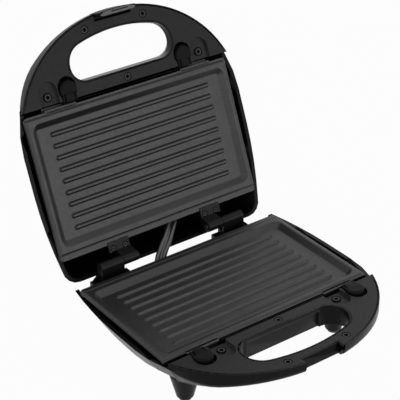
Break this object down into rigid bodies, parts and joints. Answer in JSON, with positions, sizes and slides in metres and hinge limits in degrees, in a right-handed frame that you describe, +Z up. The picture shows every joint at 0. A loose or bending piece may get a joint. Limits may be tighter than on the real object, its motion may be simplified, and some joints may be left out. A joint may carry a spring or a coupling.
{
  "type": "sandwich toaster",
  "caption": "Countertop sandwich toaster, lid open: rounded shells with handle holes, ribbed non-stick plates, floating hinge, latch, plate release buttons and feet.",
  "frame": {"origin": "centre of the open toaster's bounding box on the table", "axes": "+X to the right of a user at the handle, +Y to the hinge, +Z up"},
  "size_m": [0.2374, 0.3183, 0.268],
  "materials": {
    "shell_black": "satin",
    "cover_black": "fine grain",
    "part_black": "fine grain",
    "plate_coating": "dark non-stick coating",
    "tray_sheet": "mill",
    "steel": "zinc plated",
    "rod_steel": "heat darkened",
    "rubber_black": "matte",
    "ivory_plastic": "matte",
    "lamp_red": "clear gloss",
    "lamp_green": "clear gloss"
  },
  "bodies": {
    "base": {"base_shell": "shell_black", "base_cover": "cover_black", "base_plate": "plate_coating", "base_heat_tray": "tray_sheet", "base_heating_rod": "rod_steel", "thermostat": "steel", "thermal_fuse": "ivory_plastic", "terminal_block": "ivory_plastic", "cord_gland": "rubber_black", "base_hinge_left": "part_black", "base_hinge_right": "part_black", "base_hinge_screws": "steel", "foot_pads": "rubber_black", "base_cover_screws": "steel", "base_button_springs": "steel", "base_tray_screws": "steel", "link_lead": "rubber_black"},
    "hinge_pins": {"hinge_pins": "steel"},
    "lid": {"lid_shell": "shell_black", "lid_cover": "cover_black", "lid_plate": "plate_coating", "lid_heat_tray": "tray_sheet", "lid_heating_rod": "rod_steel", "lid_hinge_left": "part_black", "lid_hinge_right": "part_black", "lid_hinge_screws": "steel", "lid_cover_screws": "steel", "lid_button_springs": "steel", "lid_tray_screws": "steel", "latch_pin": "steel", "power_lamp": "lamp_red", "ready_lamp": "lamp_green", "lamp_holder": "ivory_plastic"},
    "latch": {"latch": "part_black"},
    "base_button_left": {"base_button_left": "part_black"},
    "base_button_right": {"base_button_right": "part_black"},
    "lid_button_left": {"lid_button_left": "part_black"},
    "lid_button_right": {"lid_button_right": "part_black"}
  },
  "joints": [
    {"name": "hinge_float", "type": "slide", "parent": "base", "child": "hinge_pins", "axis": [0, 0, 1], "range_m": [-0.0075, 0]},
    {"name": "lid_hinge", "type": "hinge", "parent": "hinge_pins", "child": "lid", "pos_m": [0, 0.06137, 0.06004], "axis": [1, 0, 0], "range_deg": [0, 112], "deforming": ["link_lead"]},
    {"name": "latch_swing", "type": "hinge", "parent": "lid", "child": "latch", "pos_m": [0, 0.15264, 0.25694], "axis": [1, 0, 0], "range_deg": [0, 12]},
    {"name": "base_button_left_press", "type": "slide", "parent": "base", "child": "base_button_left", "axis": [0, -1, 0], "range_m": [0, 0.003], "stiffness_N_per_m": 600, "springref_m": -0.002},
    {"name": "base_button_right_press", "type": "slide", "parent": "base", "child": "base_button_right", "axis": [0, -1, 0], "range_m": [0, 0.003], "stiffness_N_per_m": 600, "springref_m": -0.002},
    {"name": "lid_button_left_press", "type": "slide", "parent": "lid", "child": "lid_button_left", "axis": [0, 0.3746, 0.9272], "range_m": [0, 0.003], "stiffness_N_per_m": 600, "springref_m": -0.002},
    {"name": "lid_button_right_press", "type": "slide", "parent": "lid", "child": "lid_button_right", "axis": [0, 0.3746, 0.9272], "range_m": [0, 0.003], "stiffness_N_per_m": 600, "springref_m": -0.002}
  ],
  "couplings": [
    {"joint": "hinge_float", "follows": "lid_hinge", "m_per_rad": -0.003836}
  ]
}
